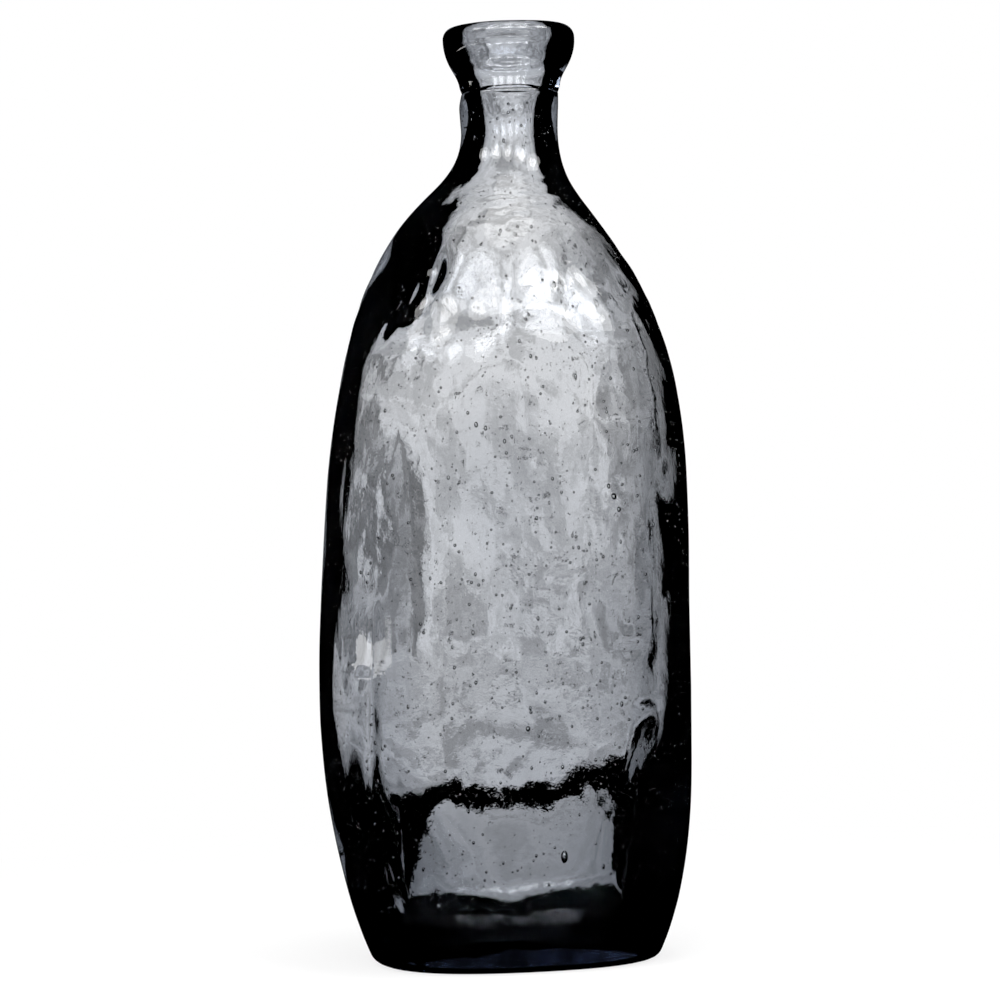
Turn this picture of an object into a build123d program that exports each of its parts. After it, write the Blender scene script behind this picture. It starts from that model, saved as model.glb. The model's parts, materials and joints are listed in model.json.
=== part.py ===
from build123d import *
import os
from typing import NamedTuple

# A tall bottle vase of thick hand-blown glass: a turned, rounded-square body that grows out of a small
# base, a round shoulder, a neck that leans off to one side, and a flared collar joined to the neck.
# Millimetres, +Z up, origin on the table under the middle of the body.

# Overall heights
HEIGHT = 360.0
SEAM_LEVEL = 334.5
FLOOR_LEVEL = 15.0

# The flats of the body are turned this far round the upright axis
PANEL_TURN = 9.0

# Handle length of a quarter curve: this value makes it a circle, longer handles make it squarer
ROUND = 0.5523

# Base
HEEL_RADIUS = 5.0
BOWL_RADIUS = 14.0
PUSH_UP_RADIUS = 36.0
PUSH_UP_DEPTH = 4.0

# Neck
NECK_LEAN = 9.4
NECK_RADIUS = 18.6
BORE_RADIUS = 11.5

# Collar
BORE_TOP = SEAM_LEVEL + 11.0
MOUTH_LEVEL = HEIGHT - 3.5
MOUTH_RADIUS = 16.5
RIM_CREST_RADIUS = 21.2
COLLAR_WIDEST_LEVEL = HEIGHT - 4.5
COLLAR_RADIUS = 25.6
COLLAR_WAIST_LEVEL = SEAM_LEVEL + 10.5
COLLAR_WAIST_RADIUS = 23.0
COLLAR_FOOT_RADIUS = 19.2
SEAM_ROUNDING = 0.6


class Level(NamedTuple):
    """One height of the blown body: where its middle is, how far its flats stand out, and its wall."""

    height: float
    middle: float
    flat: float
    fullness: float
    wall: float = 0.0


# From the standing face, which is solid glass, to the cracked-off end of the neck
LEVELS = [
    Level(0.0, 1.3, 54.6, 0.66),
    Level(FLOOR_LEVEL, 1.3, 60.3, 0.69, 13.5),
    Level(35.0, 0.8, 65.2, 0.74, 12.5),
    Level(95.0, -0.5, 70.3, 0.78, 10.3),
    Level(150.0, 0.9, 69.4, 0.79, 8.8),
    Level(200.0, 3.6, 67.0, 0.76, 7.4),
    Level(240.0, 4.1, 59.7, 0.70, 6.4),
    Level(270.0, 3.1, 47.1, 0.62, 6.0),
    Level(290.0, 4.2, 33.1, 0.57, 6.2),
    Level(304.0, 7.4, 22.4, ROUND, 6.7),
    Level(318.0, 8.8, 18.8, ROUND, 7.0),
    Level(SEAM_LEVEL, NECK_LEAN, NECK_RADIUS, ROUND, NECK_RADIUS - BORE_RADIUS),
]
BASE = LEVELS[0]


def level_plane(level):
    """The workplane of one level, centred on the body there and turned with its flats."""
    return Plane(origin=(level.middle, 0, level.height)).rotated((0, 0, PANEL_TURN))


def quarter_curves(flat, fullness):
    """Control points of the four curves round one level, each from the middle of a flat to the next."""
    handle = flat * fullness
    first = [Vector(flat, 0), Vector(flat, handle), Vector(handle, flat), Vector(0, flat)]
    return [[point.rotate(Axis.Z, 90 * turn) for point in first] for turn in range(4)]


# Blown body: the outside is drawn through every level, the hollow through those that have a wall.
# The hollow is half way to round, so the glass is thickest behind the corners.
with BuildPart() as blown_body:
    for level in LEVELS:
        with BuildSketch(level_plane(level)):
            with BuildLine():
                for curve in quarter_curves(level.flat, level.fullness):
                    Bezier(*curve)
            make_face()
    loft()
    fillet(blown_body.faces().sort_by(Axis.Z)[0].edges(), HEEL_RADIUS)

    for level in LEVELS:
        if level.wall:
            with BuildSketch(level_plane(level)):
                with BuildLine():
                    for curve in quarter_curves(level.flat - level.wall, (level.fullness + ROUND) / 2):
                        Bezier(*curve)
                make_face()
    loft(mode=Mode.SUBTRACT)
    floor_face = blown_body.faces().filter_by(Plane.XY).sort_by(Axis.Z)[1]
    fillet(floor_face.edges(), BOWL_RADIUS)

    # Shallow push-up under the base, which leaves a ring to stand on
    push_up_ball = (PUSH_UP_RADIUS**2 + PUSH_UP_DEPTH**2) / (2 * PUSH_UP_DEPTH)
    with Locations((BASE.middle, 0, PUSH_UP_DEPTH - push_up_ball)):
        Sphere(push_up_ball, mode=Mode.SUBTRACT)

# Lip collar: a gather of its own on the end of the neck, tooled into a flared cup with a rolled rim
with BuildPart() as lip_collar:
    with BuildSketch(Plane.XZ.move(Location((NECK_LEAN, 0, 0)))):
        with BuildLine():
            bore = Line((BORE_RADIUS, SEAM_LEVEL), (BORE_RADIUS, BORE_TOP))
            Spline(bore @ 1, (MOUTH_RADIUS, MOUTH_LEVEL), tangents=[(0, 1), (0, 1)])
            EllipticalCenterArc(
                center=(RIM_CREST_RADIUS, MOUTH_LEVEL),
                x_radius=RIM_CREST_RADIUS - MOUTH_RADIUS,
                y_radius=HEIGHT - MOUTH_LEVEL,
                start_angle=90,
                arc_size=90,
            )
            EllipticalCenterArc(
                center=(RIM_CREST_RADIUS, COLLAR_WIDEST_LEVEL),
                x_radius=COLLAR_RADIUS - RIM_CREST_RADIUS,
                y_radius=HEIGHT - COLLAR_WIDEST_LEVEL,
                start_angle=0,
                arc_size=90,
            )
            flare = Spline(
                (COLLAR_RADIUS, COLLAR_WIDEST_LEVEL),
                (COLLAR_WAIST_RADIUS, COLLAR_WAIST_LEVEL),
                (COLLAR_FOOT_RADIUS, SEAM_LEVEL),
                tangents=[(0, -1), (0, -1)],
            )
            Line(flare @ 1, bore @ 0)
        make_face()
    revolve(axis=Axis((NECK_LEAN, 0, 0), (0, 0, 1)))
    foot_face = lip_collar.faces().sort_by(Axis.Z)[0]
    fillet(foot_face.outer_wire().edges(), SEAM_ROUNDING)

os.makedirs("parts", exist_ok=True)
blown_body.part.label = "blown_body"
export_step(blown_body.part, "parts/blown_body.step")
lip_collar.part.label = "lip_collar"
export_step(lip_collar.part, "parts/lip_collar.step")
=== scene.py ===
"""A bottle vase of hand-blown smoke glass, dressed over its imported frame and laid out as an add-on."""

import functools
import json
import math
import random
from typing import NamedTuple

import bmesh
import bpy
import numpy as np
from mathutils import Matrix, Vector, noise
from mathutils.bvhtree import BVHTree


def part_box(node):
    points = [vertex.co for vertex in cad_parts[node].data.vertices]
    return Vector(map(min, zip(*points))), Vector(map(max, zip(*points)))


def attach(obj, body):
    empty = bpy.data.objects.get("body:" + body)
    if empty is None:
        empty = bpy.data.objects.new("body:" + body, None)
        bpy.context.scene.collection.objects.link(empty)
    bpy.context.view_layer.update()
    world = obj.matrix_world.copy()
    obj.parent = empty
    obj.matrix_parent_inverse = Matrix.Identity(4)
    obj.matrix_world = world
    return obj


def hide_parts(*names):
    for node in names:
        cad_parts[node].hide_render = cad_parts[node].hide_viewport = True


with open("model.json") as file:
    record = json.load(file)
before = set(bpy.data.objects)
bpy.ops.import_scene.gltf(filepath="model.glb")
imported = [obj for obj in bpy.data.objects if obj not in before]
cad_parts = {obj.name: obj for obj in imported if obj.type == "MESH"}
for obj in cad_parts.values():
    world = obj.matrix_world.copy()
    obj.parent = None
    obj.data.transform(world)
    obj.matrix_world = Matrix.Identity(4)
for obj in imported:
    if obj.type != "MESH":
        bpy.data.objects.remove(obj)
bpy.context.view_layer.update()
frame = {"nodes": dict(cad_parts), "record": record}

bl_info = {
    "name": "Bottle Vase",
    "version": (1, 0, 0),
    "blender": (4, 5, 0),
    "location": "3D View > Sidebar > Vase",
    "description": "Blows a smoke glass bottle vase with a flared collar around its packed frame",
    "category": "Object",
}

MM = 0.001
COLLAR_LOW, COLLAR_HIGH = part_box("lip_collar")
SEAM_HEIGHT = COLLAR_LOW.z

# The vase leans: its axis runs from the middle of the base to the middle of the mouth
MOUTH_MIDDLE = (COLLAR_LOW.x + COLLAR_HIGH.x) / 2
BASE_MIDDLE = 1.3 * MM

# Points round a ring of the glass, rays round a ring of the gauge, waves kept from them and where rays start
RING_POINTS = 320
GAUGE_RAYS = 48
GAUGE_WAVES = 10
GAUGE_REACH = 0.2

# Turn of the first ring up a rounding, in radians
ROUNDING_START = 0.12


# Measuring the solids


class Gauge:
    """Measures one solid of the frame with level rays from the leaning axis, ring by ring."""

    def __init__(self, node):
        mesh = frame["nodes"][node].data
        corners = [corner.co for corner in mesh.vertices]
        self.tree = BVHTree.FromPolygons(corners, [face.vertices for face in mesh.polygons])

    def reach(self, start, heading):
        """Distance along a ray to the solid."""
        place, _, _, distance = self.tree.ray_cast(start, heading)
        if place is None:
            raise RuntimeError(f"the gauge found no glass from {tuple(start)}")
        return distance

    def ring(self, height, inside):
        """Radii round the axis at one height, of the hollow or of the outside."""
        middle = Vector((axis_at(height), 0, height))
        radii = []
        for ray in range(GAUGE_RAYS):
            angle = math.tau * ray / GAUGE_RAYS
            heading = Vector((math.cos(angle), math.sin(angle), 0))
            if inside:
                radii.append(self.reach(middle, heading))
            else:
                radii.append(GAUGE_REACH - self.reach(middle + heading * GAUGE_REACH, -heading))
        return smooth_ring(radii)


def axis_at(height):
    """Where the leaning axis crosses a height, along X."""
    return BASE_MIDDLE + (MOUTH_MIDDLE - BASE_MIDDLE) * height / SEAM_HEIGHT


def smooth_ring(radii):
    """A ring of radii with its facets smoothed away, at the points of a glass ring."""
    waves = np.fft.rfft(np.array(radii))
    waves[GAUGE_WAVES:] = 0
    return np.fft.irfft(waves, RING_POINTS) * (RING_POINTS / GAUGE_RAYS)


def between(heights, rings, wanted):
    """Rings at the wanted heights, on smooth curves through the rings that were measured."""
    slopes = np.gradient(rings, heights, axis=0)
    spot = np.clip(np.searchsorted(heights, wanted) - 1, 0, len(heights) - 2)
    step = (heights[spot + 1] - heights[spot])[:, None]
    part = ((wanted - heights[spot])[:, None]) / step
    first = (1 + 2 * part) * (1 - part) ** 2 * rings[spot] + part * (1 - part) ** 2 * step * slopes[spot]
    second = part**2 * (3 - 2 * part) * rings[spot + 1] - part**2 * (1 - part) * step * slopes[spot + 1]
    return first + second


def quarter_round(count):
    """Heights up a rounding of radius 1, close together at its foot."""
    return 1 - np.cos(np.linspace(ROUNDING_START, math.pi / 2, count))


class Wall:
    """The measured outside and hollow of the blown body, as radii at any height."""

    # Roundings of the heel, of the floor of the hollow and of the neck's end
    HEEL = 5.0 * MM
    BOWL = 14.0 * MM
    EDGE = 0.8 * MM

    # Heights that are measured: up the roundings, over the heel, up the body and closer together up the neck
    ROUNDING_RINGS = 7
    FOOT_HEIGHTS = [0.009, 0.014, 0.021]
    BODY_HEIGHTS = np.arange(0.03, 0.285, 0.011)
    NECK_HEIGHTS = np.arange(0.288, SEAM_HEIGHT - 2 * MM, 0.006)
    OVER_FLOOR = 20 * MM

    # The floor is measured from this far over the table, and the push-up from this far under it
    FLOOR_GAUGE = 0.1

    def __init__(self):
        gauge = Gauge("blown_body")
        above = Vector((axis_at(self.FLOOR_GAUGE), 0, self.FLOOR_GAUGE))
        self.floor = above.z - gauge.reach(above, Vector((0, 0, -1)))
        below = Vector((BASE_MIDDLE, 0, -self.FLOOR_GAUGE))
        self.push_up = gauge.reach(below, Vector((0, 0, 1))) - self.FLOOR_GAUGE
        quarter = quarter_round(self.ROUNDING_RINGS)
        upper = np.concatenate([self.BODY_HEIGHTS, self.NECK_HEIGHTS])
        over_floor = upper[upper > self.floor + self.OVER_FLOOR]
        top = [SEAM_HEIGHT - self.EDGE]
        self.outer_heights = np.concatenate([self.HEEL * quarter, self.FOOT_HEIGHTS, upper, top])
        self.inner_heights = np.concatenate([self.floor + self.BOWL * quarter, over_floor, top])
        self.outer_rings = np.array([gauge.ring(height, False) for height in self.outer_heights])
        self.inner_rings = np.array([gauge.ring(height, True) for height in self.inner_heights])

    def outside(self, heights):
        """Radii of the outside at these heights."""
        return between(self.outer_heights, self.outer_rings, heights)

    def hollow(self, heights):
        """Radii of the hollow at these heights."""
        return between(self.inner_heights, self.inner_rings, heights)


@functools.cache
def measured_wall():
    """The body's wall, measured once."""
    return Wall()


# Marks of the making


class Waves(NamedTuple):
    """Soft noise in the glass: the size of its waves in millimetres, how far they are drawn upwards, and a
    shift that sets it apart from the others."""

    size: float
    drawn: float
    shift: float

    def scaled(self, points):
        """Points in waves instead of metres."""
        size = self.size * MM
        return points * np.array([1 / size, 1 / size, 1 / (size * self.drawn)]) + self.shift

    def over(self, points):
        """The noise at each point, from -1 to 1."""
        return np.array([noise.noise(Vector(point)) for point in self.scaled(points)])

    def dimples(self, points):
        """Shallow dimples that meet in ridges, from 0 in the middle of a dimple to about 1."""
        return np.array([noise.voronoi(Vector(point))[0][0] for point in self.scaled(points)]) ** 2


class Swell(NamedTuple):
    """A soft swelling of the glass, or a pit where its rise is negative, in degrees and millimetres.
    The turn runs from the front, to the right."""

    turn: float
    height: float
    wide: float
    tall: float
    rise: float

    def over(self, points):
        """How far the swelling lifts each point."""
        across = points[:, 0] - axis_at(points[:, 2])
        turns = np.arctan2(across, -points[:, 1])
        apart = (turns - math.radians(self.turn) + math.pi) % math.tau - math.pi
        sideways = apart * np.hypot(across, points[:, 1]) / (self.wide * MM)
        upwards = (points[:, 2] - self.height * MM) / (self.tall * MM)
        return self.rise * MM * np.exp(-(sideways**2) - upwards**2)


# Unevenness of the body's wall, from broad dents to fine breaks
BROAD = Waves(48, 1.6, 3.1)
DIMPLES = Waves(36, 1.5, 41.2)
PANES = Waves(30, 1.4, 57.9)
LUMPS = Waves(17, 1.3, 23.4)
STREAKS = Waves(13, 7.0, 11.7)
BREAKS = Waves(13, 0.8, 91.6)
FINE_BREAKS = Waves(5.5, 0.8, 67.2)
RAGS = Waves(6, 1.0, 33.1)
FINE_RAGS = Waves(2.5, 1.0, 13.9)

# The dimples and panes are bent by this noise, this far
BEND = Waves(26, 1.0, 5.3)
BEND_REACH = 7 * MM

# Unevenness of the collar
COLLAR_LUMPS = Waves(14, 1.0, 71.3)
COLLAR_STREAKS = Waves(8, 3.0, 83.8)

# Pits, drops and folds on the outside
OUTSIDE_SWELLS = [
    Swell(18.5, 256, 2.6, 4.5, -1.0),
    Swell(26, 209, 4.5, 13, -0.8),
    Swell(23, 222, 2.5, 6, 0.5),
    Swell(31, 178, 2.0, 3.0, -0.9),
    Swell(34, 175, 1.8, 2.2, -0.9),
    Swell(33, 182, 1.5, 2.0, 0.7),
    Swell(14, 148, 7, 1.8, 0.3),
    Swell(10, 144, 4, 1.8, 0.25),
    Swell(-50, 117, 4, 3, 0.4),
    Swell(-45, 112, 5, 2.5, 0.6),
    Swell(-54, 110, 3, 3, 0.35),
    Swell(40, 98, 6, 3, 0.4),
    Swell(36, 120, 5, 2.5, 0.5),
    Swell(-17, 250, 9, 8, 0.35),
    Swell(8, 250, 10, 5, 0.6),
    Swell(28, 243, 9, 6, 0.6),
    Swell(-31, 252, 7, 6, 0.5),
]

# Places where the wall is thick: a gather in the left shoulder with its drips, and the foot of each side
HOLLOW_SWELLS = [
    Swell(-78, 268, 24, 16, 12.0),
    Swell(-54, 257, 8, 9, 4.5),
    Swell(-42, 254, 3.0, 8, 3.0),
    Swell(-49, 249, 2.5, 7, 2.4),
    Swell(-34, 260, 2.5, 6, 1.6),
    Swell(80, 60, 24, 22, 7.0),
    Swell(60, 66, 13, 13, 2.5),
    Swell(-84, 46, 20, 13, 7.0),
    Swell(-54, 57, 8, 8, 2.5),
    Swell(-70, 100, 20, 26, -4.5),
    Swell(-66, 190, 20, 55, -2.0),
    Swell(68, 262, 24, 30, -1.6),
]

# The corner between the front and the left panel is pinched into a crease: its heights and turns
CREASE_HEIGHTS = [21 * MM, 67 * MM, 127 * MM]
CREASE_TURNS = [math.radians(-35.6), math.radians(-41.6), math.radians(-39.5)]
CREASE_WIDTH = 4.5 * MM
CREASE_FADE = 18 * MM

# The middle of the front panel is turned this far from the front
PANEL_TURN = math.radians(9)

# Tool marks round the root of the neck
WRINKLE_PATCH = Swell(5, 291, 15, 9, 1.0)
WRINKLE_LENGTH = 4.6 * MM
WRINKLE_WANDER = 2.4 * MM


class Blister(NamedTuple):
    """A large bubble: its turn in degrees from the front, its height and radius in millimetres, its stretch,
    and how deep it sits, from 0 at the hollow to 1 at the outside."""

    turn: float
    height: float
    radius: float
    stretch: float
    depth: float


BLISTERS = [
    Blister(16.6, 44, 1.3, 1.8, 0.6),
    Blister(33, 177, 1.0, 1.3, 0.7),
    Blister(34.5, 172, 0.8, 1.2, 0.7),
    Blister(31.5, 181, 0.7, 1.4, 0.65),
    Blister(-27, 27, 1.2, 1.2, 0.6),
    Blister(18.5, 257, 0.9, 1.6, 0.6),
    Blister(-12, 205, 0.7, 1.5, 0.6),
    Blister(4, 92, 0.8, 1.3, 0.6),
    Blister(150, 120, 1.1, 1.6, 0.6),
    Blister(-140, 190, 0.9, 1.5, 0.6),
    Blister(100, 210, 0.9, 1.4, 0.6),
    Blister(-95, 130, 1.1, 1.5, 0.6),
]


class Ramp(NamedTuple):
    """A change from 0 to 1 over some heights, upwards from its start, or downwards with a negative length."""

    start: float
    length: float

    def at(self, heights):
        """How far the change has come at each height."""
        return np.clip((heights - self.start) / self.length, 0, 1)

    def eased(self, heights):
        """The same without a kink at either end."""
        share = self.at(heights)
        return share**2 * (3 - 2 * share)


class Band(NamedTuple):
    """A soft band round the vase: the height of its middle and how tall it is."""

    middle: float
    tall: float

    def at(self, heights):
        """From 0 far from the band to 1 in its middle."""
        return np.exp(-(((heights - self.middle) / self.tall) ** 2))


def blend(shares, layers):
    """The sum of some layers, each by its share."""
    return sum(share * layer for share, layer in zip(shares, layers))


def crease_over(points):
    """A pinched ridge, from 0 beside the crease to 1 along it."""
    across = points[:, 0] - axis_at(points[:, 2])
    turns = np.arctan2(across, -points[:, 1])
    line = np.interp(points[:, 2], CREASE_HEIGHTS, CREASE_TURNS)
    apart = np.abs(turns - line) * np.hypot(across, points[:, 1])
    along = np.clip((CREASE_HEIGHTS[-1] + CREASE_FADE - points[:, 2]) / CREASE_FADE, 0, 1)
    return np.clip(1 - apart / CREASE_WIDTH, 0, 1) * along


# Making meshes


def lay_ring(radii, height, middle=None):
    """Points of a level ring round the leaning axis, or round another middle."""
    middle = axis_at(height) if middle is None else middle
    angles = np.arange(RING_POINTS) * (math.tau / RING_POINTS)
    heights = np.full(RING_POINTS, height)
    return np.stack([middle + radii * np.cos(angles), radii * np.sin(angles), heights], axis=1)


def skin(name, rings, poles):
    """A mesh over a run of rings, closed by a point at each end, or by its first ring where it has none."""
    count = len(rings)
    points = np.concatenate(rings)
    here = np.arange(RING_POINTS)
    beside = (here + 1) % RING_POINTS
    faces = []
    for ring in range(count if not poles else count - 1):
        low = ring * RING_POINTS
        high = ((ring + 1) % count) * RING_POINTS
        faces.extend(np.stack([low + here, low + beside, high + beside, high + here], axis=1).tolist())
    if poles:
        points = np.concatenate([points, np.array(poles)])
        first, last = count * RING_POINTS, count * RING_POINTS + 1
        low = (count - 1) * RING_POINTS
        faces.extend([int(b), int(a), first] for a, b in zip(here, beside))
        faces.extend([int(low + a), int(low + b), last] for a, b in zip(here, beside))
    mesh = bpy.data.meshes.new(name)
    mesh.from_pydata(points.tolist(), [], faces)
    face_outwards(mesh)
    return mesh


def face_outwards(mesh):
    """Turns every face of a closed mesh to the outside of its glass and shades it smooth."""
    shape = bmesh.new()
    shape.from_mesh(mesh)
    bmesh.ops.recalc_face_normals(shape, faces=shape.faces)
    if shape.calc_volume(signed=True) < 0:
        bmesh.ops.reverse_faces(shape, faces=shape.faces)
    for face in shape.faces:
        face.smooth = True
    shape.to_mesh(mesh)
    shape.free()


def mesh_points(mesh):
    """The points of a mesh as an array."""
    points = np.zeros(len(mesh.vertices) * 3)
    mesh.vertices.foreach_get("co", points)
    return points.reshape(-1, 3)


def push_out(mesh, heights):
    """Moves each point of a mesh along its normal."""
    normals = np.zeros(len(mesh.vertices) * 3, dtype=np.float32)
    mesh.vertex_normals.foreach_get("vector", normals)
    moved = mesh_points(mesh) + normals.reshape(-1, 3) * heights[:, None]
    mesh.vertices.foreach_set("co", moved.ravel())
    mesh.update()


def place(piece, replaced):
    """Lets a piece ride on the vase, and hides the node of the frame that it stands for."""
    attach(piece, "root")
    if replaced:
        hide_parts(replaced)


def new_piece(name, mesh, material):
    """A new object with one material, linked to the scene."""
    mesh.materials.append(material)
    piece = bpy.data.objects.new(name, mesh)
    bpy.context.scene.collection.objects.link(piece)
    return piece


# Shader maths


class Value:
    """A shader socket that takes part in Python sums."""

    def __init__(self, shader, socket):
        self.shader = shader
        self.socket = socket

    def math(self, operation, first, second):
        """A Math node on two values, of which either may be a number."""
        return self.shader.node("Math", {0: first, 1: second}, operation=operation)

    def step(self, first, second):
        """From 0 where this is at the first value to 1 at the second, softly."""
        reach = {"Value": self, "From Min": first, "From Max": second}
        return self.shader.node("MapRange", reach, interpolation_type="SMOOTHSTEP")

    def __add__(self, other):
        return self.math("ADD", self, other)

    __radd__ = __add__

    def __mul__(self, other):
        return self.math("MULTIPLY", self, other)

    __rmul__ = __mul__

    def __sub__(self, other):
        return self.math("SUBTRACT", self, other)

    def __rsub__(self, other):
        return self.math("SUBTRACT", other, self)

    def __abs__(self):
        return self.shader.node("Math", {0: self}, operation="ABSOLUTE")


class Shader:
    """The node tree of a material or of the world, emptied, with one method that adds any node."""

    def __init__(self, owner):
        owner.use_nodes = True
        self.tree = owner.node_tree
        self.tree.nodes.clear()

    def node(self, kind, inputs=None, output=0, **settings):
        """Adds a node: its settings first, then the values or links of its sockets. Returns one output."""
        made = self.tree.nodes.new(f"ShaderNode{kind}")
        for setting, value in settings.items():
            setattr(made, setting, value)
        for socket, value in (inputs or {}).items():
            if isinstance(value, Value):
                self.tree.links.new(value.socket, made.inputs[socket])
            else:
                made.inputs[socket].default_value = value
        return Value(self, made.outputs[output]) if len(made.outputs) else made

    def glow(self, colour):
        """Light of one colour."""
        return self.node("Emission", {"Color": colour})

    def show_mix(self, share, first, second):
        """Shows two shaders on a surface, the second by its share."""
        mixed = self.node("MixShader", {0: share, 1: first, 2: second})
        self.node("OutputMaterial", {"Surface": mixed})


WHITE = (1.0, 1.0, 1.0, 1.0)
BLACK = (0.0, 0.0, 0.0, 1.0)

# Skin of the glass: scales of its ripple, grain and haze, the ripple's stretch, and what the other two add
RIPPLE_SCALE = 95.0
GRAIN_SCALE = 300.0
HAZE_SCALE = 40.0
RIPPLE_DRAWN = (1.0, 1.0, 0.45)
GRAIN_SHARE = 0.13
HAZE_ROUGHNESS = 0.02


def clear_glass(shader, settings, more):
    """The clear surface of glass, with more of its sockets."""
    sockets = {"Base Color": WHITE, "IOR": settings.refraction, "Transmission Weight": 1.0, **more}
    return shader.node("BsdfPrincipled", sockets)


def smoke_glass(settings):
    """Smoke-grey blown glass: clear, fire-polished, rippled, and dark where it is thick. Made once."""
    if "blown_smoke_glass" in bpy.data.materials:
        return bpy.data.materials["blown_smoke_glass"]
    material = bpy.data.materials.new("blown_smoke_glass")
    shader = Shader(material)
    spot = shader.node("TexCoord", output="Object")
    stretch = {"Vector": spot, "Scale": RIPPLE_DRAWN}
    drawn = shader.node("Mapping", stretch)
    ripple_noise = {"Vector": drawn, "Scale": RIPPLE_SCALE, "Detail": 2.0, "Roughness": 0.45}
    ripple = shader.node("TexNoise", ripple_noise, "Fac")
    grain_noise = {"Vector": spot, "Scale": GRAIN_SCALE, "Detail": 3.0, "Roughness": 0.6}
    grain = shader.node("TexNoise", grain_noise, "Fac")
    bumps = {"Distance": settings.ripple, "Height": ripple + grain * GRAIN_SHARE}
    uneven = shader.node("Bump", bumps)
    haze_noise = {"Vector": spot, "Scale": HAZE_SCALE, "Detail": 3.0}
    haze = shader.node("TexNoise", haze_noise, "Fac")
    glass = clear_glass(shader, settings, {"Roughness": haze * HAZE_ROUGHNESS, "Normal": uneven})
    darkening = {"Color": (*settings.smoke, 1.0), "Density": settings.density}
    smoke = shader.node("VolumeAbsorption", darkening)
    shader.node("OutputMaterial", {"Surface": glass, "Volume": smoke})
    return material


def bubble_air(settings):
    """The wall of a bubble: the same glass seen from its inside, with nothing in it."""
    material = bpy.data.materials.new("bubble_air")
    shader = Shader(material)
    glass = clear_glass(shader, settings, {"Roughness": 0.0})
    shader.node("OutputMaterial", {"Surface": glass})
    return material


# Settings


class VaseGlassSettings(bpy.types.PropertyGroup):
    """The glass of the vase and how unevenly it was blown."""

    smoke: bpy.props.FloatVectorProperty(
        name="Smoke",
        description="Colour that the glass takes as it gets thicker",
        subtype="COLOR",
        size=3,
        min=0.0,
        max=1.0,
        default=(0.175, 0.245, 0.365),
    )
    density: bpy.props.FloatProperty(
        name="Smoke Density", description="How fast the glass darkens, per metre", min=0.0, default=41.0
    )
    refraction: bpy.props.FloatProperty(
        name="Refraction", description="Refractive index of the glass", min=1.0, max=2.0, default=1.5
    )
    ripple: bpy.props.FloatProperty(
        name="Ripple", subtype="DISTANCE", default=0.25 * MM,
        description="Height of the fine ripple on the skin of the glass",
    )
    dents: bpy.props.FloatProperty(
        name="Dents", subtype="DISTANCE", default=0.55 * MM,
        description="Depth of the broad dents that the paddle and the blowing left outside",
    )
    folds: bpy.props.FloatProperty(
        name="Folds", subtype="DISTANCE", default=0.8 * MM,
        description="Height of the soft folds inside the hollow",
    )
    crease: bpy.props.FloatProperty(
        name="Crease", subtype="DISTANCE", default=0.6 * MM,
        description="Height of the pinched corner between the front and the left panel",
    )
    wrinkles: bpy.props.FloatProperty(
        name="Wrinkles", subtype="DISTANCE", default=0.5 * MM,
        description="Height of the tool marks round the root of the neck",
    )
    thin_corners: bpy.props.FloatProperty(
        name="Thin Corners", subtype="DISTANCE", default=5.0 * MM,
        description="How far the hollow reaches into the corners of the body",
    )
    thick_neck: bpy.props.FloatProperty(
        name="Thick Neck", subtype="DISTANCE", default=1.1 * MM,
        description="How much thicker the glass of the neck is under the collar",
    )
    thin_faces: bpy.props.FloatProperty(
        name="Thin Faces", subtype="DISTANCE", default=1.8 * MM,
        description="How much thinner the glass is in front and behind than at the sides",
    )


class VaseSeedSettings(bpy.types.PropertyGroup):
    """The seeds: small bubbles that recycled glass is full of."""

    count: bpy.props.IntProperty(name="Seeds", description="Number of seeds in the wall", min=0, default=6600)
    smallest: bpy.props.FloatProperty(
        name="Smallest Seed", subtype="DISTANCE", default=0.22 * MM,
        description="Radius of the smallest seeds",
    )
    largest: bpy.props.FloatProperty(
        name="Largest Seed", subtype="DISTANCE", default=0.62 * MM,
        description="Radius of the largest seeds",
    )


class VaseStageSettings(bpy.types.PropertyGroup):
    """The floor, the light and the camera."""

    floor_colour: bpy.props.FloatVectorProperty(
        name="Floor",
        description="Colour of the pale floor",
        subtype="COLOR",
        size=3,
        min=0.0,
        max=1.0,
        default=(0.9, 0.9, 0.9),
    )
    camera_distance: bpy.props.FloatProperty(
        name="Camera Distance", subtype="DISTANCE", default=1.51,
        description="From the camera to the axis of the vase",
    )
    camera_height: bpy.props.FloatProperty(
        name="Camera Height", subtype="DISTANCE", default=0.177,
        description="Height of the camera over the floor",
    )
    camera_roll: bpy.props.FloatProperty(
        name="Camera Roll", description="Tilt of the picture", subtype="ANGLE", default=math.radians(1.8)
    )
    camera_lens: bpy.props.FloatProperty(
        name="Lens", description="Focal length in millimetres", subtype="DISTANCE_CAMERA", default=140.4
    )


# Operators


# Rings under the base, as shares of its foot, where the push-up ends and how steeply it rises
UNDER_SHARES = np.linspace(0.03, 0.985, 22)
STAND_INSIDE = 0.84
PUSH_UP_CURVE = 1.3

# Rings up the outside and over the end of the neck, which stays clear of the collar
HEEL_RINGS = 8
OVER_HEEL = 7 * MM
OUTSIDE_STEP = 1.6 * MM
EDGE_TURNS = np.linspace(0, math.pi / 2, 5)
END_SHARES = np.linspace(0.12, 1.0, 8)
GAP = 0.05 * MM

# Rings down the hollow and over its floor
HOLLOW_TOP = SEAM_HEIGHT - 1 * MM
HOLLOW_STEP = 2 * MM
OVER_BOWL = 2.4 * MM
BOWL_RINGS = 12
FLOOR_SHARES = np.linspace(0.96, 0.04, 16)

# All unevenness fades out towards the seam and the table
TO_SEAM = Ramp(SEAM_HEIGHT, -18 * MM)
OFF_TABLE = Ramp(0.0, 16 * MM)

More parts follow.
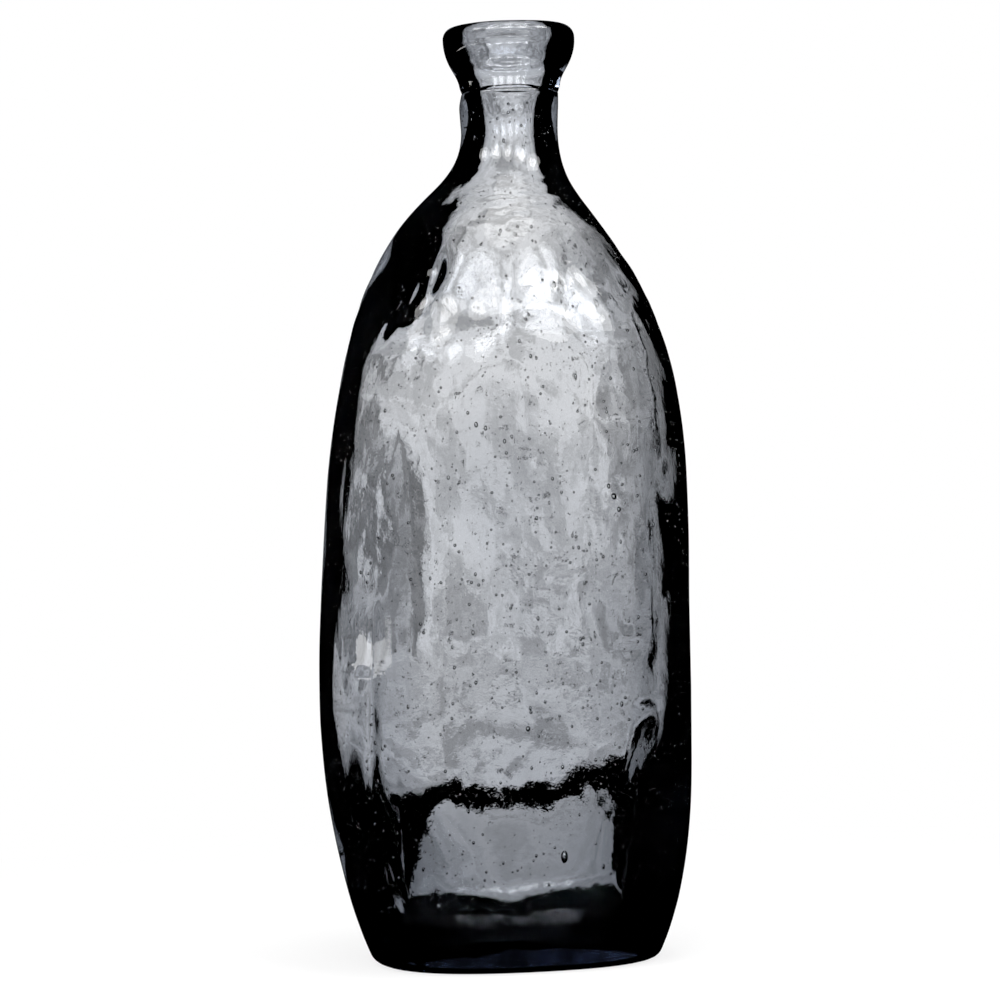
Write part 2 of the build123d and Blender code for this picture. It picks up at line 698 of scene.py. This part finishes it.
# Dents outside: shares of the broad waves, streaks, lumps, dimples and breaks round the shoulder
DENT_SHARES = (0.9, 0.16, 0.32, 0.8, 0.6)
SHOULDER = Band(252 * MM, 26 * MM)
FINE_BREAK_SHARE = 0.45

# Folds in the hollow: shares of the panes, broad waves, streaks and lumps, and of the rags by the floor
FOLD_SHARES = (1.2, 0.8, 0.15, 0.3)
BY_FLOOR = Band(19 * MM, 7 * MM)
RAG_SHARE = 0.3
FINE_RAG_SHARE = 0.6

# Dimples are sunk by this much to lie evenly about the wall
DIMPLE_MIDDLE = 0.3

# The streaks weaken up the neck, down to this share
STREAKS_LEFT = Ramp(312 * MM, -40 * MM)
STREAK_LEAST = 0.25

# The corners are thin and the neck is thick where both of their changes have come to 1
THIN_CORNERS = (Ramp(26 * MM, 52 * MM), Ramp(270 * MM, -70 * MM))
THICK_NECK = (Ramp(278 * MM, 34 * MM), Ramp(HOLLOW_TOP, -5 * MM))


class VASE_OT_blow_body(bpy.types.Operator):
    """Blow the body: base, panelled wall, shoulder and neck, with the hollow inside"""

    bl_idname = "vase.blow_body"
    bl_label = "Blow Body"

    def execute(self, context):
        settings = context.scene.vase_glass
        wall = measured_wall()
        rings, sides = self.profile(wall)
        poles = [(BASE_MIDDLE, 0, wall.push_up), (axis_at(wall.floor), 0, wall.floor)]
        mesh = skin("blown_body_glass", rings, poles)
        sides = np.concatenate([np.repeat(sides, RING_POINTS), [-1, 1]])
        push_out(mesh, self.relief(mesh_points(mesh), sides, settings))
        piece = new_piece("blown_body_glass", mesh, smoke_glass(settings))
        place(piece, "blown_body")
        return {"FINISHED"}

    def profile(self, wall):
        """Rings from under the base, up the outside, over the neck's end and down the hollow to its floor.
        Beside each ring goes its side: -1 underneath, 0 outside and 1 in the hollow."""
        under = []
        foot = wall.outer_rings[0]
        for share in UNDER_SHARES:
            lift = wall.push_up * max(0.0, 1 - (share / STAND_INSIDE) ** 2) ** PUSH_UP_CURVE
            under.append(lay_ring(foot * share, lift))
        top = SEAM_HEIGHT - wall.EDGE
        heel = wall.HEEL * quarter_round(HEEL_RINGS)
        up = np.concatenate([heel, np.arange(OVER_HEEL, top, OUTSIDE_STEP)])
        outside = [lay_ring(radii, height) for height, radii in zip(up, wall.outside(up))]
        top_outer = wall.outside(np.array([top]))[0]
        top_inner = wall.hollow(np.array([top]))[0]
        for turn in EDGE_TURNS:
            inset = wall.EDGE * (1 - math.cos(turn))
            rise = wall.EDGE * math.sin(turn) - wall.EDGE - GAP
            outside.append(lay_ring(top_outer - inset, SEAM_HEIGHT + rise))
        for share in END_SHARES:
            across = top_outer - wall.EDGE + (top_inner - top_outer + wall.EDGE) * share
            outside.append(lay_ring(across, SEAM_HEIGHT - GAP))
        bowl = wall.floor + wall.BOWL * quarter_round(BOWL_RINGS)
        over_bowl = wall.floor + wall.BOWL + OVER_BOWL
        steps = np.arange(over_bowl, HOLLOW_TOP, HOLLOW_STEP)
        down = np.concatenate([bowl, steps])[::-1]
        hollow = [lay_ring(radii, height) for height, radii in zip(down, wall.hollow(down))]
        hollow += [lay_ring(wall.inner_rings[0] * share, wall.floor) for share in FLOOR_SHARES]
        sides = np.repeat([-1, 0, 1], [len(under), len(outside), len(hollow)])
        return under + outside + hollow, sides

    def relief(self, points, sides, settings):
        """How far each point stands out of the plain form, or sinks into it."""
        height = points[:, 2]
        bent = points + BEND_REACH * BEND.over(points)[:, None]
        dimples = DIMPLES.dimples(bent) - DIMPLE_MIDDLE
        panes = PANES.dimples(bent) - DIMPLE_MIDDLE
        streaks = STREAKS.over(points) * np.maximum(STREAKS_LEFT.at(height), STREAK_LEAST)
        shared = (BROAD.over(points), streaks, LUMPS.over(points))
        outer = self.outside_relief(points, (*shared, dimples), settings)
        inner = self.hollow_relief(points, (panes, *shared), settings)
        uneven = TO_SEAM.at(height) * OFF_TABLE.at(height)
        uneven = uneven * ((sides == 0) * outer + (sides == 1) * inner)
        low, high = THICK_NECK
        return uneven + (sides == 1) * settings.thick_neck * low.eased(height) * high.eased(height)

    def outside_relief(self, points, layers, settings):
        """Dents, crease, swells and tool marks of the outside."""
        height = points[:, 2]
        broken = BREAKS.over(points) + FINE_BREAK_SHARE * FINE_BREAKS.over(points)
        dents = blend(DENT_SHARES, (*layers, broken * SHOULDER.at(height)))
        wrinkles = np.cos(math.tau * (height + WRINKLE_WANDER * broken) / WRINKLE_LENGTH)
        relief = settings.dents * dents + settings.crease * crease_over(points)
        relief = relief + sum(swell.over(points) for swell in OUTSIDE_SWELLS)
        return relief + settings.wrinkles * wrinkles * WRINKLE_PATCH.over(points) / MM

    def hollow_relief(self, points, layers, settings):
        """Folds, rags by the floor, thin faces and corners, and the thick places of the hollow."""
        height = points[:, 2]
        ragged = RAGS.over(points) + FINE_RAG_SHARE * FINE_RAGS.over(points)
        folds = blend(FOLD_SHARES, layers) + RAG_SHARE * ragged * BY_FLOOR.at(height)
        turns = np.arctan2(points[:, 0] - axis_at(height), -points[:, 1])
        low, high = THIN_CORNERS
        corners = (0.5 - 0.5 * np.cos(4 * (turns - PANEL_TURN))) * low.eased(height) * high.eased(height)
        thin = settings.thin_faces * np.cos(turns) ** 2 + settings.thin_corners * corners
        return settings.folds * folds - thin + sum(swell.over(points) for swell in HOLLOW_SWELLS)


# Points of the measured section, and where it is measured from, as a share of the way out from the bore
SECTION_POINTS = 96
CORE_SHARE = 0.45

# The bore is opened into a cup by this much, in a band over the seam and inside this radius
CUP = Band(SEAM_HEIGHT + 12 * MM, 6.5 * MM)
CUP_DEPTH = 2.2 * MM
CUP_INSIDE = 16.6 * MM

# Unevenness: shares of the lumps and streaks, how it fades to the seam and what is left at the rim
UNEVEN_SHARES = (0.7, 0.2)
ABOVE_SEAM = Ramp(SEAM_HEIGHT, 5 * MM)
UNDER_RIM = Ramp(COLLAR_HIGH.z, -3 * MM)
RIM_LEAST = 0.3


class VASE_OT_lay_collar(bpy.types.Operator):
    """Lay the collar on the end of the neck and flare it"""

    bl_idname = "vase.lay_collar"
    bl_label = "Lay Collar"

    def execute(self, context):
        settings = context.scene.vase_glass
        mesh = skin("lip_collar_glass", self.section_rings(), None)
        points = mesh_points(mesh)
        height = points[:, 2]
        across = np.hypot(points[:, 0] - MOUTH_MIDDLE, points[:, 1])
        cup = CUP.at(height) * (across < CUP_INSIDE)
        uneven = blend(UNEVEN_SHARES, (COLLAR_LUMPS.over(points), COLLAR_STREAKS.over(points)))
        uneven = uneven * settings.dents
        uneven = uneven * (RIM_LEAST + (1 - RIM_LEAST) * UNDER_RIM.at(height))
        push_out(mesh, ABOVE_SEAM.at(height) * (uneven - CUP_DEPTH * cup))
        piece = new_piece("lip_collar_glass", mesh, smoke_glass(settings))
        place(piece, "lip_collar")
        return {"FINISHED"}

    def section_rings(self):
        """Rings round the mouth through the points of the collar's measured section."""
        gauge = Gauge("lip_collar")
        half = (COLLAR_HIGH.x - COLLAR_LOW.x) / 2
        bores = [mount["dims"]["r_mm"] for mount in frame["record"]["mounts"] if mount["kind"] == "bore"]
        bore = min(bores) * MM
        core_radius = bore + (half - bore) * CORE_SHARE
        core_height = (COLLAR_LOW.z + COLLAR_HIGH.z) / 2
        core = Vector((MOUTH_MIDDLE + core_radius, 0, core_height))
        rings = []
        for point in range(SECTION_POINTS):
            angle = math.tau * point / SECTION_POINTS
            heading = Vector((math.cos(angle), 0, math.sin(angle)))
            spot = core + heading * gauge.reach(core, heading)
            height = max(spot.z, COLLAR_LOW.z + GAP)
            rings.append(lay_ring(spot.x - MOUTH_MIDDLE, height, MOUTH_MIDDLE))
        return rings


# Start of the random draws
DRAW_START = 4

# Seeds lie between these heights, and higher behind, where the thick base would show them as specks
LOWEST = 32 * MM
LOWEST_BEHIND = 48 * MM
HIGHEST = SEAM_HEIGHT - 4 * MM

# How deep they lie, from 0 at the hollow to 1 at the outside
DEEPEST = 0.45
SHALLOWEST = 0.82

# A ring of this radius gets all its seeds, narrower ones fewer
WIDEST = 72 * MM

# Powers that keep most seeds small and round, and how far the longest is stretched
SIZE_POWER = 4
STRETCH_POWER = 3
MOST_STRETCH = 0.9

# Fineness of the balls, for small seeds, for those from this radius up and for blisters
ROUND_FROM = 0.36 * MM
SMALL_BALL = 1
LARGE_BALL = 2
BLISTER_BALL = 3


class VASE_OT_scatter_seeds(bpy.types.Operator):
    """Scatter the seeds through the wall of the body"""

    bl_idname = "vase.scatter_seeds"
    bl_label = "Scatter Seeds"

    @staticmethod
    @functools.cache
    def ball(fineness):
        """Points and inward faces of a ball of radius 1."""
        ball = bmesh.new()
        bmesh.ops.create_icosphere(ball, subdivisions=fineness, radius=1.0)
        ball.verts.index_update()
        points = np.array([point.co for point in ball.verts])
        faces = np.array([[point.index for point in reversed(face.verts)] for face in ball.faces])
        ball.free()
        return points, faces

    def execute(self, context):
        wall = measured_wall()
        bubbles = [*self.seeds(wall, context.scene.vase_seeds), *self.blisters(wall)]
        points = []
        corners = []
        total = 0
        for middle, size, stretch, fineness in bubbles:
            shape, faces = self.ball(fineness)
            corners.extend((faces + total).tolist())
            total += len(shape)
            points.append(shape * np.array([size, size, size * stretch]) + middle)
        mesh = bpy.data.meshes.new("seed_bubbles")
        mesh.from_pydata(np.concatenate(points).tolist(), [], corners)
        mesh.polygons.foreach_set("use_smooth", [True] * len(mesh.polygons))
        piece = new_piece("seed_bubbles", mesh, bubble_air(context.scene.vase_glass))
        place(piece, None)
        return {"FINISHED"}

    def seeds(self, wall, settings):
        """Middle, radius, stretch and fineness of each seed."""
        draw = random.Random(DRAW_START)
        spread = settings.largest - settings.smallest
        for _ in range(settings.count):
            height = draw.uniform(LOWEST, HIGHEST)
            ring_point = draw.randrange(RING_POINTS)
            if draw.random() * WIDEST > wall.outside(np.array([height]))[0][ring_point]:
                continue
            depth = draw.uniform(DEEPEST, SHALLOWEST)
            angle = (ring_point + draw.uniform(-0.5, 0.5)) * math.tau / RING_POINTS
            size = settings.smallest + spread * draw.random() ** SIZE_POWER
            stretch = 1 + MOST_STRETCH * draw.random() ** STRETCH_POWER
            if height < LOWEST_BEHIND and math.sin(angle) > 0:
                continue
            fineness = LARGE_BALL if size > ROUND_FROM else SMALL_BALL
            yield self.in_wall(wall, ring_point, angle, height, depth), size, stretch, fineness

    def blisters(self, wall):
        """Middle, radius, stretch and fineness of each blister."""
        for blister in BLISTERS:
            angle = math.radians(blister.turn - 90)
            ring_point = int((blister.turn - 90) / 360 * RING_POINTS) % RING_POINTS
            middle = self.in_wall(wall, ring_point, angle, blister.height * MM, blister.depth)
            yield middle, blister.radius * MM, blister.stretch, BLISTER_BALL

    @staticmethod
    def in_wall(wall, ring_point, angle, height, depth):
        """A place in the wall of the body, between the hollow and the outside."""
        outer = wall.outside(np.array([height]))[0][ring_point]
        inner = wall.hollow(np.array([height]))[0][ring_point]
        radius = inner + (outer - inner) * depth
        return np.array([axis_at(height) + radius * math.cos(angle), radius * math.sin(angle), height])


# The stage is made of bands round the vase with an edge at every step, and its sheets lie this far apart
BAND_STEP = math.radians(2)
FLAG_GAP = 0.2 * MM

# Floor: its reach, its least glow, where the shadow on it fades, and the light of the surround on it
FLOOR_REACH = 60.0
FLOOR_GLOW = 0.78
SHADOW_FADE = (0.15, 0.55)
SOFT_WORLD = 0.55

# Black flags: how far off their wall stands, its height and that of their top
FLAG_REACH = 5.0
FLAG_WALL = 3.0
FLAG_TOP = 4.0

# Ring of cards, the same on each side: its distance, its grey, the white openings in it and their foot
CARD_SIDES = 8
CARD_DISTANCE = 2.0
CARD_GREY = 0.54
CARD_OPENING = math.radians(10.5)
CARD_SOFT = math.radians(2.5)
CARD_SHIFT = math.radians(1.0)
CARD_FOOT = 0.2

# Low on its right each opening is shut, from this turn on and down between these heights
LOW_RIGHT = math.radians(6)
LOW_FADE = (0.195, 0.12)

# Dark stripe on the left of each opening
STRIPE_GREY = 0.34
STRIPE_WIDTH = math.radians(2.2)
STRIPE_FADE = (math.radians(1.54), math.radians(0.66))

# Paler cards above, and the bright sky over them
CARD_TOP = 0.72
TOP_FADE = (0.3525, 0.658)
CARD_SKY = 1.25
SKY_FADE = (0.6, 0.95)

# Clouds over the cards, and the noise that lets their edges wander
CARD_CLOUDS = 0.33
CLOUD_SCALE = 7.0
CLOUD_FADE = (0.36, 0.64)
WANDER_SCALE = 3.0
WANDER_TURN = math.radians(8)
WANDER_HEIGHT = 0.35

# Light through solid glass passes fewer faces than this, and is dimmed to these shares behind and aside:
# painted shade that darkens the thick base
SOLID_FACES = 2.5
SOLID_BEHIND = 0.12
SOLID_ASIDE = 0.6
SOLID_FADE = (math.radians(26), math.radians(39))

# Painted contact shadow: a black card under the vase; then the table, ground and ceiling
PAINTED_SHADOW_REACH = 100 * MM
TABLE_GREY = 0.55
TABLE_REACH = 0.45
GROUND_GREY = 0.68
GROUND_REACH = 4.2
CEILING_LEVEL = 1.4
CEILING_REACH = 3.0

# The dark kerb on the table behind the vase: turns in degrees, and its distance and height at each
KERB_TURNS = [-90, -50, -30, -24, -5, 2, 5, 12, 25, 31, 40, 50, 90]
KERB_DISTANCES = [0.11, 0.115, 0.17, 0.18, 0.315, 0.445, 0.40, 0.33, 0.24, 0.222, 0.19, 0.12, 0.11]
KERB_HEIGHTS = [0.03, 0.03, 0.028, 0.026, 0.023, 0.014, 0.020, 0.028, 0.04, 0.05, 0.05, 0.05, 0.05]

# Softboxes in front, aimed at the shoulder: turns in degrees, distance, heights, and sizes with power
SOFTBOX_TURNS = (-64, -32, 0, 32, 64)
SOFTBOX_DISTANCE = 0.95
SOFTBOX_LEVEL = 1.1
SHOULDER_LEVEL = 0.24
SOFTBOX = (0.3, 0.24, 2.0)
SOFT_EDGE = (0.5, 0.46, 2.4)

# Strip lights on the left, and the lamps overhead
STRIP_TURNS = (-95, -65)
STRIP_DISTANCE = 1.2
STRIP_LEVEL = 0.118
STRIP = (0.55, 0.05, 0.3)
TOP_SPOT = (0.2, -0.2, 1.6)
TOP_TARGET = (0, 0, 0.2)
TOP_SOFTBOX = (0.7, 0.7, 3.5)
TOP_LAMP = (0.36, 0.36, 4.4)

# Camera: how far it stands aside, and its sensor in millimetres
CAMERA_ASIDE = 0.6 * MM
SENSOR = 36.0


class VASE_OT_set_stage(bpy.types.Operator):
    """Set the pale floor, the soft light and the camera"""

    bl_idname = "vase.set_stage"
    bl_label = "Set Stage"

    def execute(self, context):
        settings = context.scene.vase_stage
        self.lay_floor(settings)
        self.hang_flags()
        self.hang_cards()
        self.light_world(context.scene)
        self.hang_lamps()
        self.set_camera(context.scene, settings)
        context.scene.view_settings.view_transform = "Standard"
        return {"FINISHED"}

    def lay_floor(self, settings):
        """A wide round floor, white to the eye and to the glass, that keeps the shadow near the vase."""
        material = bpy.data.materials.new("pale_floor")
        shader = Shader(material)
        spot = shader.node("NewGeometry", output="Position")
        away = shader.node("VectorMath", {0: spot}, "Value", operation="LENGTH")
        far = away.step(*SHADOW_FADE)
        glowing = self.seen_rays(shader) * (FLOOR_GLOW + (1 - FLOOR_GLOW) * far)
        matt = shader.node("BsdfDiffuse", {"Color": (*settings.floor_colour, 1.0)})
        shader.show_mix(glowing, matt, shader.glow(WHITE))
        self.lay_band("floor", (0.0, -FLAG_GAP), (FLOOR_REACH, -FLAG_GAP), material)

    def lay_band(self, name, first, second, material, start=0.0, stop=math.tau):
        """A band of the stage from one turn to another, between two edges. Each is a radius and a height, or
        a function that gives both for a turn."""
        turns = np.linspace(start, stop, 2 + int((stop - start) / BAND_STEP))
        points = []
        for turn in turns:
            for edge in (first, second):
                radius, height = edge(turn) if callable(edge) else edge
                points.append((radius * math.sin(turn), radius * math.cos(turn), height))
        faces = [[2 * step, 2 * step + 2, 2 * step + 3, 2 * step + 1] for step in range(len(turns) - 1)]
        mesh = bpy.data.meshes.new(name)
        mesh.from_pydata(points, [], faces)
        piece = new_piece(name, mesh, material)
        return piece

    def mirrored(self, shader):
        """1 for light that glass has mirrored on its way, else 0."""
        bounces = shader.node("LightPath", output="Glossy Depth")
        return bounces.math("MINIMUM", bounces, 1.0)

    def turn_of(self, shader, spot):
        """Turn of a spot round the vase, from straight behind it."""
        across = shader.node("SeparateXYZ", {0: spot}, "X")
        along = shader.node("SeparateXYZ", {0: spot}, "Y")
        return across.math("ARCTAN2", across, along)

    def through_hollow(self, shader, spot):
        """1 for light that has come by the hollow, so through four faces, and less through solid glass:
        painted shade that darkens the thick base.
        """
        faces = shader.node("LightPath", output="Transmission Depth")
        by_hollow = faces.math("GREATER_THAN", faces, SOLID_FACES)
        sideways = abs(self.turn_of(shader, spot)).step(*SOLID_FADE)
        solid = SOLID_BEHIND + (SOLID_ASIDE - SOLID_BEHIND) * sideways
        return solid + (1 - solid) * by_hollow

    def hang_flags(self):
        """Black flags all round, over the lamps and on the floor, which only mirrored light meets."""
        material = bpy.data.materials.new("black_flag")
        shader = Shader(material)
        clear = shader.node("BsdfTransparent", {"Color": WHITE})
        black = shader.node("BsdfDiffuse", {"Color": BLACK})
        shader.show_mix(self.mirrored(shader), clear, black)
        level = -FLAG_GAP / 2
        reach = FLAG_REACH
        around = [(0.0, level), (reach, level), (reach, FLAG_WALL), (0.0, FLAG_TOP)]
        for part, (first, second) in enumerate(zip(around, around[1:])):
            flag = self.lay_band(f"black_flag.{part}", first, second, material)
            self.hide_from(flag, "camera", "diffuse", "shadow", "volume_scatter")

    def hang_cards(self):
        """A ring of cards far behind the glass, a dark ceiling, a ground, a grey table, a black card under
        the vase as a painted contact shadow, and a dark kerb on the table.
        """
        low, high = (CARD_DISTANCE, 0.0), (CARD_DISTANCE, CEILING_LEVEL)
        self.hang_card("card_ring", low, high, self.ring_grey)
        middle, edge = (0.0, CEILING_LEVEL), (CEILING_REACH, CEILING_LEVEL)
        self.hang_card("dark_ceiling", middle, edge, 0.0)
        level = -FLAG_GAP / 4
        middle, foot = (0.0, level), (PAINTED_SHADOW_REACH, level)
        near, far = (TABLE_REACH, level), (GROUND_REACH, level)
        self.hang_card("grey_ground", near, far, GROUND_GREY)
        # Black card under the vase: painted contact shadow, seen only through the glass
        self.hang_card("painted_contact_shadow", middle, foot, 0.0)
        self.hang_card("grey_table", foot, near, TABLE_GREY)
        ends = (math.radians(KERB_TURNS[0]), math.radians(KERB_TURNS[-1]))
        self.hang_card("dark_kerb", self.kerb_foot, self.kerb_top, 0.0, *ends)

    def kerb_foot(self, turn):
        """Radius and height of the kerb's foot at a turn."""
        return np.interp(math.degrees(turn), KERB_TURNS, KERB_DISTANCES), 0.0

    def kerb_top(self, turn):
        """Radius and height of the kerb's top at a turn."""
        distance, _ = self.kerb_foot(turn)
        return distance, np.interp(math.degrees(turn), KERB_TURNS, KERB_HEIGHTS)

    def ring_grey(self, shader, spot):
        """Grey of the ring: white openings on all sides, a dark stripe beside each, and pale above."""
        up = shader.node("SeparateXYZ", {0: spot}, "Z")
        wander = self.clouds(shader, spot, WANDER_SCALE) - 0.5
        turn = self.turn_of(shader, spot) - CARD_SHIFT + WANDER_TURN * wander
        side = math.pi / CARD_SIDES
        turn = shader.node("Math", {0: turn, 1: side, 2: -side}, operation="WRAP")
        height = up + WANDER_HEIGHT * wander
        soft = CARD_SOFT
        white = abs(turn).step(CARD_OPENING + soft, CARD_OPENING - soft)
        white = white * (0.5 + 0.5 * up.step(0.0, CARD_FOOT))
        low_right = up.step(*LOW_FADE) * turn.step(LOW_RIGHT - soft, LOW_RIGHT + soft)
        white = white * (1 - low_right)
        dark = abs(turn + CARD_OPENING + STRIPE_WIDTH / 2).step(*STRIPE_FADE)
        grey = CARD_GREY + (1 - CARD_GREY) * white
        grey = grey + (STRIPE_GREY - grey) * dark
        grey = grey + (CARD_TOP - grey) * height.step(*TOP_FADE)
        return grey + (CARD_SKY - grey) * up.step(*SKY_FADE)

    def clouds(self, shader, spot, scale):
        """Cloudy noise over the stage."""
        inputs = {"Vector": spot, "Scale": scale, "Detail": 4.0, "Roughness": 0.6, "Distortion": 0.8}
        return shader.node("TexNoise", inputs, "Fac")

    def hang_card(self, name, first, second, grey, start=0.0, stop=math.tau):
        """A card which only light that comes through the glass meets, dimmer unless it came by the hollow,
        which paints shade into the solid base.
        """
        material = bpy.data.materials.new(name)
        shader = Shader(material)
        spot = shader.node("NewGeometry", output="Position")
        if callable(grey):
            grey = grey(shader, spot)
        patches = self.clouds(shader, spot, CLOUD_SCALE).step(*CLOUD_FADE)
        clouded = 1 + CARD_CLOUDS * (patches * 2 - 1)
        # The share holds the painted shade of the solid base, from through_hollow
        share = grey * clouded * (1 - self.mirrored(shader)) * self.through_hollow(shader, spot)
        shader.show_mix(share, shader.glow(BLACK), shader.glow(WHITE))
        card = self.lay_band(name, first, second, material, start, stop)
        self.hide_from(card, "camera", "diffuse", "glossy", "shadow", "volume_scatter")

    def hide_from(self, piece, *rays):
        """Hides a piece of the stage from some kinds of rays."""
        for ray in rays:
            setattr(piece, f"visible_{ray}", False)

    def hang_lamps(self):
        """Round softboxes over the camera for the shoulder, lamps on the left and a large one overhead."""
        shoulder = (0, 0, SHOULDER_LEVEL)
        for turn in SOFTBOX_TURNS:
            spot = self.round_front(turn, SOFTBOX_DISTANCE, SOFTBOX_LEVEL)
            self.hang_softbox(f"softbox.{turn}", spot, shoulder, SOFTBOX)
            self.hang_softbox(f"soft_edge.{turn}", spot, shoulder, SOFT_EDGE)
        for turn in STRIP_TURNS:
            spot = self.round_front(turn, STRIP_DISTANCE, STRIP_LEVEL)
            strip = self.hang_softbox(f"strip_light.{turn}", spot, (0, 0, STRIP_LEVEL), STRIP)
            self.hide_from(strip, "transmission")
        self.hang_softbox("top_softbox", TOP_SPOT, TOP_TARGET, TOP_SOFTBOX)
        self.hang_softbox("top_lamp", TOP_SPOT, TOP_TARGET, TOP_LAMP)

    def round_front(self, turn, distance, level):
        """A place round the vase, at a turn in degrees from the front."""
        side = math.radians(turn)
        return distance * math.sin(side), -distance * math.cos(side), level

    def seen_rays(self, shader):
        """1 for rays from the camera and for those that glass mirrors or lets through, else 0."""
        kinds = ("Is Camera Ray", "Is Glossy Ray", "Is Transmission Ray")
        camera, mirrored, through = [shader.node("LightPath", output=kind) for kind in kinds]
        return camera.math("MAXIMUM", camera.math("MAXIMUM", camera, mirrored), through)

    def light_world(self, scene):
        """A white surround for the eye and the glass, and a softer one for the floor."""
        world = bpy.data.worlds.new("studio")
        scene.world = world
        shader = Shader(world)
        soft = shader.node("Background", {"Color": WHITE, "Strength": SOFT_WORLD})
        white = shader.node("Background", {"Color": WHITE})
        mixed = shader.node("MixShader", {0: self.seen_rays(shader), 1: soft, 2: white})
        shader.node("OutputWorld", {"Surface": mixed})

    def hang_softbox(self, name, spot, target, box):
        """An oval area lamp that the camera doesn't see, of a width, height and power."""
        lamp = bpy.data.lights.new(name, "AREA")
        lamp.shape = "ELLIPSE"
        lamp.size, lamp.size_y, lamp.energy = box
        hung = bpy.data.objects.new(name, lamp)
        hung.location = spot
        hung.rotation_euler = (Vector(target) - Vector(spot)).to_track_quat("-Z", "Y").to_euler()
        hung.visible_camera = False
        bpy.context.scene.collection.objects.link(hung)
        return hung

    def set_camera(self, scene, settings):
        """The camera looks level along +Y, with the picture rolled a little."""
        eye = bpy.data.cameras.new("camera")
        eye.sensor_width = SENSOR
        eye.lens = settings.camera_lens
        holder = bpy.data.objects.new("camera", eye)
        holder.location = (CAMERA_ASIDE, -settings.camera_distance, settings.camera_height)
        holder.rotation_euler = (math.pi / 2, settings.camera_roll, 0)
        scene.collection.objects.link(holder)
        scene.camera = holder


class VASE_PT_sidebar(bpy.types.Panel):
    """The vase's pieces and settings"""

    bl_idname = "VASE_PT_sidebar"
    bl_label = "Bottle Vase"
    bl_space_type = "VIEW_3D"
    bl_region_type = "UI"
    bl_category = "Vase"

    def draw(self, context):
        for group in (context.scene.vase_glass, context.scene.vase_seeds, context.scene.vase_stage):
            box = self.layout.box()
            for setting in group.__annotations__:
                box.prop(group, setting)
        for step in STEPS:
            self.layout.operator(step.bl_idname)


SETTINGS = {
    "vase_glass": VaseGlassSettings,
    "vase_seeds": VaseSeedSettings,
    "vase_stage": VaseStageSettings,
}
STEPS = (VASE_OT_blow_body, VASE_OT_lay_collar, VASE_OT_scatter_seeds, VASE_OT_set_stage)


def register():
    """Registers the settings, the steps and the panel."""
    for group in SETTINGS.values():
        bpy.utils.register_class(group)
    for step in (*STEPS, VASE_PT_sidebar):
        bpy.utils.register_class(step)
    for name, group in SETTINGS.items():
        setattr(bpy.types.Scene, name, bpy.props.PointerProperty(type=group))


def unregister():
    """Takes them out again."""
    for name in SETTINGS:
        delattr(bpy.types.Scene, name)
    for step in (VASE_PT_sidebar, *reversed(STEPS)):
        bpy.utils.unregister_class(step)
    for group in reversed(SETTINGS.values()):
        bpy.utils.unregister_class(group)


def main():
    """Makes the vase and its stage."""
    register()
    bpy.ops.vase.blow_body()
    bpy.ops.vase.lay_collar()
    bpy.ops.vase.scatter_seeds()
    bpy.ops.vase.set_stage()


if __name__ == "__main__":
    main()
